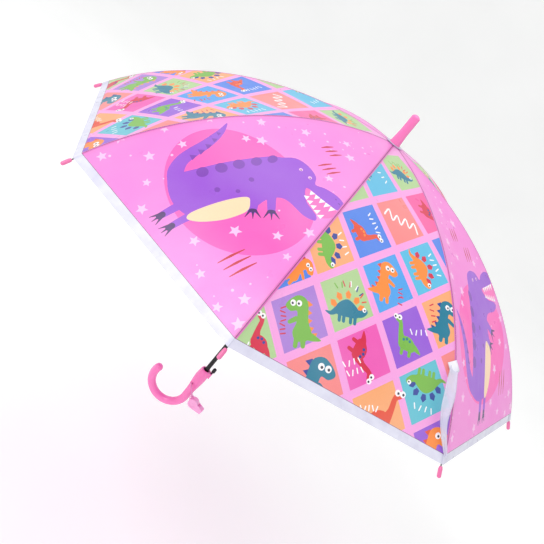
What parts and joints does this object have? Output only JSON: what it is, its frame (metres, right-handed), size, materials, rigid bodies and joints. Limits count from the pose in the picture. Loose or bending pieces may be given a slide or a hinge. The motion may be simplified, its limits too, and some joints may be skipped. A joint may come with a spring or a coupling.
{
  "type": "children's umbrella",
  "caption": "Open stick umbrella for a child, with a ribbed film canopy that folds down its shaft, a sprung runner, a crook handle and a whistle on a cord.",
  "frame": {"origin": "on the shaft axis at the handle's mouth", "axes": "+Z along the shaft towards the ferrule; the crook opens towards -X and the button is on the +X side; rib 1 points to -X and rib 3 to -Y"},
  "size_m": [0.874, 0.874, 0.671],
  "materials": {
    "printed_film": "printed film, glossy",
    "clear_film": "milky film",
    "pink_plastic": "gloss",
    "black_plastic": "satin",
    "black_tube": "gloss paint",
    "black_steel": "black finish",
    "steel_wire": "plain wire",
    "pink_cord": "woven"
  },
  "bodies": {
    "frame": {"shaft": "black_tube", "ferrule": "pink_plastic", "crown_washer": "clear_film", "crown_notch": "black_plastic", "handle": "pink_plastic", "button_pin": "steel_wire", "opening_spring": "steel_wire"},
    "runner": {"runner": "black_plastic"},
    "rib_1": {"rib_inner_1": "black_steel"},
    "rib_end_1": {"rib_outer_1": "black_steel", "rib_tip_1": "pink_plastic"},
    "panel_1": {"canopy_upper_1": "printed_film"},
    "panel_end_1": {"canopy_lower_1": "printed_film"},
    "stretcher_1": {"stretcher_1": "black_steel"},
    "rib_2": {"rib_inner_2": "black_steel"},
    "rib_end_2": {"rib_outer_2": "black_steel", "rib_tip_2": "pink_plastic"},
    "panel_2": {"canopy_upper_2": "printed_film"},
    "panel_end_2": {"canopy_lower_2": "printed_film"},
    "stretcher_2": {"stretcher_2": "black_steel"},
    "rib_3": {"rib_inner_3": "black_steel"},
    "rib_end_3": {"rib_outer_3": "black_steel", "rib_tip_3": "pink_plastic"},
    "panel_3": {"canopy_upper_3": "printed_film"},
    "panel_end_3": {"canopy_lower_3": "printed_film", "closing_strap": "clear_film"},
    "stretcher_3": {"stretcher_3": "black_steel"},
    "rib_4": {"rib_inner_4": "black_steel"},
    "rib_end_4": {"rib_outer_4": "black_steel", "rib_tip_4": "pink_plastic"},
    "panel_4": {"canopy_upper_4": "printed_film"},
    "panel_end_4": {"canopy_lower_4": "printed_film"},
    "stretcher_4": {"stretcher_4": "black_steel"},
    "rib_5": {"rib_inner_5": "black_steel"},
    "rib_end_5": {"rib_outer_5": "black_steel", "rib_tip_5": "pink_plastic"},
    "panel_5": {"canopy_upper_5": "printed_film"},
    "panel_end_5": {"canopy_lower_5": "printed_film"},
    "stretcher_5": {"stretcher_5": "black_steel"},
    "rib_6": {"rib_inner_6": "black_steel"},
    "rib_end_6": {"rib_outer_6": "black_steel", "rib_tip_6": "pink_plastic"},
    "panel_6": {"canopy_upper_6": "printed_film"},
    "panel_end_6": {"canopy_lower_6": "printed_film"},
    "stretcher_6": {"stretcher_6": "black_steel"},
    "rib_7": {"rib_inner_7": "black_steel"},
    "rib_end_7": {"rib_outer_7": "black_steel", "rib_tip_7": "pink_plastic"},
    "panel_7": {"canopy_upper_7": "printed_film"},
    "panel_end_7": {"canopy_lower_7": "printed_film"},
    "stretcher_7": {"stretcher_7": "black_steel"},
    "rib_8": {"rib_inner_8": "black_steel"},
    "rib_end_8": {"rib_outer_8": "black_steel", "rib_tip_8": "pink_plastic"},
    "panel_8": {"canopy_upper_8": "printed_film"},
    "panel_end_8": {"canopy_lower_8": "printed_film"},
    "stretcher_8": {"stretcher_8": "black_steel"},
    "button": {"release_button": "black_plastic"},
    "whistle": {"whistle": "pink_plastic", "whistle_cord": "pink_cord"}
  },
  "joints": [
    {"name": "runner_slide", "type": "slide", "parent": "frame", "child": "runner", "axis": [0, 0, -1], "range_m": [0, 0.2404], "stiffness_N_per_m": 30, "springref_m": -0.5, "deforming": ["opening_spring"]},
    {"name": "rib_hinge_1", "type": "hinge", "parent": "frame", "child": "rib_1", "pos_m": [-0.008, 0, 0.502], "axis": [0, -1, 0], "range_deg": [0, 73.79]},
    {"name": "rib_flex_1", "type": "hinge", "parent": "rib_1", "child": "rib_end_1", "pos_m": [-0.2387, 0, 0.44238], "axis": [0, 1, 0], "range_deg": [0, 25.62]},
    {"name": "stretcher_hinge_1", "type": "hinge", "parent": "rib_1", "child": "stretcher_1", "pos_m": [-0.20302, 0, 0.44838], "axis": [0, 1, 0], "range_deg": [0, 123.75]},
    {"name": "panel_fold_1", "type": "hinge", "parent": "frame", "child": "panel_1", "pos_m": [-0.00721, -0.00298, 0.504], "axis": [0.3827, -0.9239, 0], "range_deg": [0, 71.17], "deforming": ["canopy_upper_1"]},
    {"name": "panel_flex_1", "type": "hinge", "parent": "panel_1", "child": "panel_end_1", "pos_m": [-0.20437, -0.08465, 0.44409], "axis": [-0.3827, 0.9239, 0], "range_deg": [0, 25.5], "deforming": ["canopy_lower_1"]},
    {"name": "rib_hinge_2", "type": "hinge", "parent": "frame", "child": "rib_2", "pos_m": [-0.00566, -0.00566, 0.502], "axis": [0.7071, -0.7071, 0], "range_deg": [0, 73.79]},
    {"name": "rib_flex_2", "type": "hinge", "parent": "rib_2", "child": "rib_end_2", "pos_m": [-0.16878, -0.16878, 0.44238], "axis": [-0.7071, 0.7071, 0], "range_deg": [0, 25.62]},
    {"name": "stretcher_hinge_2", "type": "hinge", "parent": "rib_2", "child": "stretcher_2", "pos_m": [-0.14356, -0.14356, 0.44838], "axis": [-0.7071, 0.7071, 0], "range_deg": [0, 123.75]},
    {"name": "panel_fold_2", "type": "hinge", "parent": "frame", "child": "panel_2", "pos_m": [-0.00298, -0.00721, 0.504], "axis": [0.9239, -0.3827, 0], "range_deg": [0, 71.17], "deforming": ["canopy_upper_2"]},
    {"name": "panel_flex_2", "type": "hinge", "parent": "panel_2", "child": "panel_end_2", "pos_m": [-0.08465, -0.20437, 0.44409], "axis": [-0.9239, 0.3827, 0], "range_deg": [0, 25.5], "deforming": ["canopy_lower_2"]},
    {"name": "rib_hinge_3", "type": "hinge", "parent": "frame", "child": "rib_3", "pos_m": [0, -0.008, 0.502], "axis": [1, 0, 0], "range_deg": [0, 73.79]},
    {"name": "rib_flex_3", "type": "hinge", "parent": "rib_3", "child": "rib_end_3", "pos_m": [0, -0.2387, 0.44238], "axis": [-1, 0, 0], "range_deg": [0, 25.62]},
    {"name": "stretcher_hinge_3", "type": "hinge", "parent": "rib_3", "child": "stretcher_3", "pos_m": [0, -0.20302, 0.44838], "axis": [-1, 0, 0], "range_deg": [0, 123.75]},
    {"name": "panel_fold_3", "type": "hinge", "parent": "frame", "child": "panel_3", "pos_m": [0.00298, -0.00721, 0.504], "axis": [0.9239, 0.3827, 0], "range_deg": [0, 71.17], "deforming": ["canopy_upper_3"]},
    {"name": "panel_flex_3", "type": "hinge", "parent": "panel_3", "child": "panel_end_3", "pos_m": [0.08465, -0.20437, 0.44409], "axis": [-0.9239, -0.3827, 0], "range_deg": [0, 25.5], "deforming": ["canopy_lower_3", "closing_strap"]},
    {"name": "rib_hinge_4", "type": "hinge", "parent": "frame", "child": "rib_4", "pos_m": [0.00566, -0.00566, 0.502], "axis": [0.7071, 0.7071, 0], "range_deg": [0, 73.79]},
    {"name": "rib_flex_4", "type": "hinge", "parent": "rib_4", "child": "rib_end_4", "pos_m": [0.16878, -0.16878, 0.44238], "axis": [-0.7071, -0.7071, 0], "range_deg": [0, 25.62]},
    {"name": "stretcher_hinge_4", "type": "hinge", "parent": "rib_4", "child": "stretcher_4", "pos_m": [0.14356, -0.14356, 0.44838], "axis": [-0.7071, -0.7071, 0], "range_deg": [0, 123.75]},
    {"name": "panel_fold_4", "type": "hinge", "parent": "frame", "child": "panel_4", "pos_m": [0.00721, -0.00298, 0.504], "axis": [0.3827, 0.9239, 0], "range_deg": [0, 71.17], "deforming": ["canopy_upper_4"]},
    {"name": "panel_flex_4", "type": "hinge", "parent": "panel_4", "child": "panel_end_4", "pos_m": [0.20437, -0.08465, 0.44409], "axis": [-0.3827, -0.9239, 0], "range_deg": [0, 25.5], "deforming": ["canopy_lower_4"]},
    {"name": "rib_hinge_5", "type": "hinge", "parent": "frame", "child": "rib_5", "pos_m": [0.008, 0, 0.502], "axis": [0, 1, 0], "range_deg": [0, 73.79]},
    {"name": "rib_flex_5", "type": "hinge", "parent": "rib_5", "child": "rib_end_5", "pos_m": [0.2387, 0, 0.44238], "axis": [0, -1, 0], "range_deg": [0, 25.62]},
    {"name": "stretcher_hinge_5", "type": "hinge", "parent": "rib_5", "child": "stretcher_5", "pos_m": [0.20302, 0, 0.44838], "axis": [0, -1, 0], "range_deg": [0, 123.75]},
    {"name": "panel_fold_5", "type": "hinge", "parent": "frame", "child": "panel_5", "pos_m": [0.00721, 0.00298, 0.504], "axis": [-0.3827, 0.9239, 0], "range_deg": [0, 71.17], "deforming": ["canopy_upper_5"]},
    {"name": "panel_flex_5", "type": "hinge", "parent": "panel_5", "child": "panel_end_5", "pos_m": [0.20437, 0.08465, 0.44409], "axis": [0.3827, -0.9239, 0], "range_deg": [0, 25.5], "deforming": ["canopy_lower_5"]},
    {"name": "rib_hinge_6", "type": "hinge", "parent": "frame", "child": "rib_6", "pos_m": [0.00566, 0.00566, 0.502], "axis": [-0.7071, 0.7071, 0], "range_deg": [0, 73.79]},
    {"name": "rib_flex_6", "type": "hinge", "parent": "rib_6", "child": "rib_end_6", "pos_m": [0.16878, 0.16878, 0.44238], "axis": [0.7071, -0.7071, 0], "range_deg": [0, 25.62]},
    {"name": "stretcher_hinge_6", "type": "hinge", "parent": "rib_6", "child": "stretcher_6", "pos_m": [0.14356, 0.14356, 0.44838], "axis": [0.7071, -0.7071, 0], "range_deg": [0, 123.75]},
    {"name": "panel_fold_6", "type": "hinge", "parent": "frame", "child": "panel_6", "pos_m": [0.00298, 0.00721, 0.504], "axis": [-0.9239, 0.3827, 0], "range_deg": [0, 71.17], "deforming": ["canopy_upper_6"]},
    {"name": "panel_flex_6", "type": "hinge", "parent": "panel_6", "child": "panel_end_6", "pos_m": [0.08465, 0.20437, 0.44409], "axis": [0.9239, -0.3827, 0], "range_deg": [0, 25.5], "deforming": ["canopy_lower_6"]},
    {"name": "rib_hinge_7", "type": "hinge", "parent": "frame", "child": "rib_7", "pos_m": [0, 0.008, 0.502], "axis": [-1, 0, 0], "range_deg": [0, 73.79]},
    {"name": "rib_flex_7", "type": "hinge", "parent": "rib_7", "child": "rib_end_7", "pos_m": [0, 0.2387, 0.44238], "axis": [1, 0, 0], "range_deg": [0, 25.62]},
    {"name": "stretcher_hinge_7", "type": "hinge", "parent": "rib_7", "child": "stretcher_7", "pos_m": [0, 0.20302, 0.44838], "axis": [1, 0, 0], "range_deg": [0, 123.75]},
    {"name": "panel_fold_7", "type": "hinge", "parent": "frame", "child": "panel_7", "pos_m": [-0.00298, 0.00721, 0.504], "axis": [-0.9239, -0.3827, 0], "range_deg": [0, 71.17], "deforming": ["canopy_upper_7"]},
    {"name": "panel_flex_7", "type": "hinge", "parent": "panel_7", "child": "panel_end_7", "pos_m": [-0.08465, 0.20437, 0.44409], "axis": [0.9239, 0.3827, 0], "range_deg": [0, 25.5], "deforming": ["canopy_lower_7"]},
    {"name": "rib_hinge_8", "type": "hinge", "parent": "frame", "child": "rib_8", "pos_m": [-0.00566, 0.00566, 0.502], "axis": [-0.7071, -0.7071, 0], "range_deg": [0, 73.79]},
    {"name": "rib_flex_8", "type": "hinge", "parent": "rib_8", "child": "rib_end_8", "pos_m": [-0.16878, 0.16878, 0.44238], "axis": [0.7071, 0.7071, 0], "range_deg": [0, 25.62]},
    {"name": "stretcher_hinge_8", "type": "hinge", "parent": "rib_8", "child": "stretcher_8", "pos_m": [-0.14356, 0.14356, 0.44838], "axis": [0.7071, 0.7071, 0], "range_deg": [0, 123.75]},
    {"name": "panel_fold_8", "type": "hinge", "parent": "frame", "child": "panel_8", "pos_m": [-0.00721, 0.00298, 0.504], "axis": [-0.3827, -0.9239, 0], "range_deg": [0, 71.17], "deforming": ["canopy_upper_8"]},
    {"name": "panel_flex_8", "type": "hinge", "parent": "panel_8", "child": "panel_end_8", "pos_m": [-0.20437, 0.08465, 0.44409], "axis": [0.3827, 0.9239, 0], "range_deg": [0, 25.5], "deforming": ["canopy_lower_8"]},
    {"name": "button_press", "type": "hinge", "parent": "frame", "child": "button", "pos_m": [0.0106, 0, -0.005], "axis": [0, -1, 0], "range_deg": [0, 9], "stiffness_Nm_per_rad": 0.08, "springref_deg": -2.86},
    {"name": "whistle_swing", "type": "hinge", "parent": "frame", "child": "whistle", "pos_m": [-0.0056, -0.0095, -0.0355], "axis": [0, 1, 0], "range_deg": [-20, 75]}
  ],
  "couplings": [
    {"joint": "rib_hinge_1", "follows": "runner_slide", "rad_per_m": 5.3565},
    {"joint": "rib_flex_1", "follows": "runner_slide", "rad_per_m": 1.859},
    {"joint": "stretcher_hinge_1", "follows": "runner_slide", "rad_per_m": 8.9836},
    {"joint": "panel_fold_1", "follows": "runner_slide", "rad_per_m": 5.1666},
    {"joint": "panel_flex_1", "follows": "runner_slide", "rad_per_m": 1.8504},
    {"joint": "rib_hinge_2", "follows": "runner_slide", "rad_per_m": 5.3565},
    {"joint": "rib_flex_2", "follows": "runner_slide", "rad_per_m": 1.859},
    {"joint": "stretcher_hinge_2", "follows": "runner_slide", "rad_per_m": 8.9836},
    {"joint": "panel_fold_2", "follows": "runner_slide", "rad_per_m": 5.1666},
    {"joint": "panel_flex_2", "follows": "runner_slide", "rad_per_m": 1.8504},
    {"joint": "rib_hinge_3", "follows": "runner_slide", "rad_per_m": 5.3565},
    {"joint": "rib_flex_3", "follows": "runner_slide", "rad_per_m": 1.859},
    {"joint": "stretcher_hinge_3", "follows": "runner_slide", "rad_per_m": 8.9836},
    {"joint": "panel_fold_3", "follows": "runner_slide", "rad_per_m": 5.1666},
    {"joint": "panel_flex_3", "follows": "runner_slide", "rad_per_m": 1.8504},
    {"joint": "rib_hinge_4", "follows": "runner_slide", "rad_per_m": 5.3565},
    {"joint": "rib_flex_4", "follows": "runner_slide", "rad_per_m": 1.859},
    {"joint": "stretcher_hinge_4", "follows": "runner_slide", "rad_per_m": 8.9836},
    {"joint": "panel_fold_4", "follows": "runner_slide", "rad_per_m": 5.1666},
    {"joint": "panel_flex_4", "follows": "runner_slide", "rad_per_m": 1.8504},
    {"joint": "rib_hinge_5", "follows": "runner_slide", "rad_per_m": 5.3565},
    {"joint": "rib_flex_5", "follows": "runner_slide", "rad_per_m": 1.859},
    {"joint": "stretcher_hinge_5", "follows": "runner_slide", "rad_per_m": 8.9836},
    {"joint": "panel_fold_5", "follows": "runner_slide", "rad_per_m": 5.1666},
    {"joint": "panel_flex_5", "follows": "runner_slide", "rad_per_m": 1.8504},
    {"joint": "rib_hinge_6", "follows": "runner_slide", "rad_per_m": 5.3565},
    {"joint": "rib_flex_6", "follows": "runner_slide", "rad_per_m": 1.859},
    {"joint": "stretcher_hinge_6", "follows": "runner_slide", "rad_per_m": 8.9836},
    {"joint": "panel_fold_6", "follows": "runner_slide", "rad_per_m": 5.1666},
    {"joint": "panel_flex_6", "follows": "runner_slide", "rad_per_m": 1.8504},
    {"joint": "rib_hinge_7", "follows": "runner_slide", "rad_per_m": 5.3565},
    {"joint": "rib_flex_7", "follows": "runner_slide", "rad_per_m": 1.859},
    {"joint": "stretcher_hinge_7", "follows": "runner_slide", "rad_per_m": 8.9836},
    {"joint": "panel_fold_7", "follows": "runner_slide", "rad_per_m": 5.1666},
    {"joint": "panel_flex_7", "follows": "runner_slide", "rad_per_m": 1.8504},
    {"joint": "rib_hinge_8", "follows": "runner_slide", "rad_per_m": 5.3565},
    {"joint": "rib_flex_8", "follows": "runner_slide", "rad_per_m": 1.859},
    {"joint": "stretcher_hinge_8", "follows": "runner_slide", "rad_per_m": 8.9836},
    {"joint": "panel_fold_8", "follows": "runner_slide", "rad_per_m": 5.1666},
    {"joint": "panel_flex_8", "follows": "runner_slide", "rad_per_m": 1.8504}
  ]
}
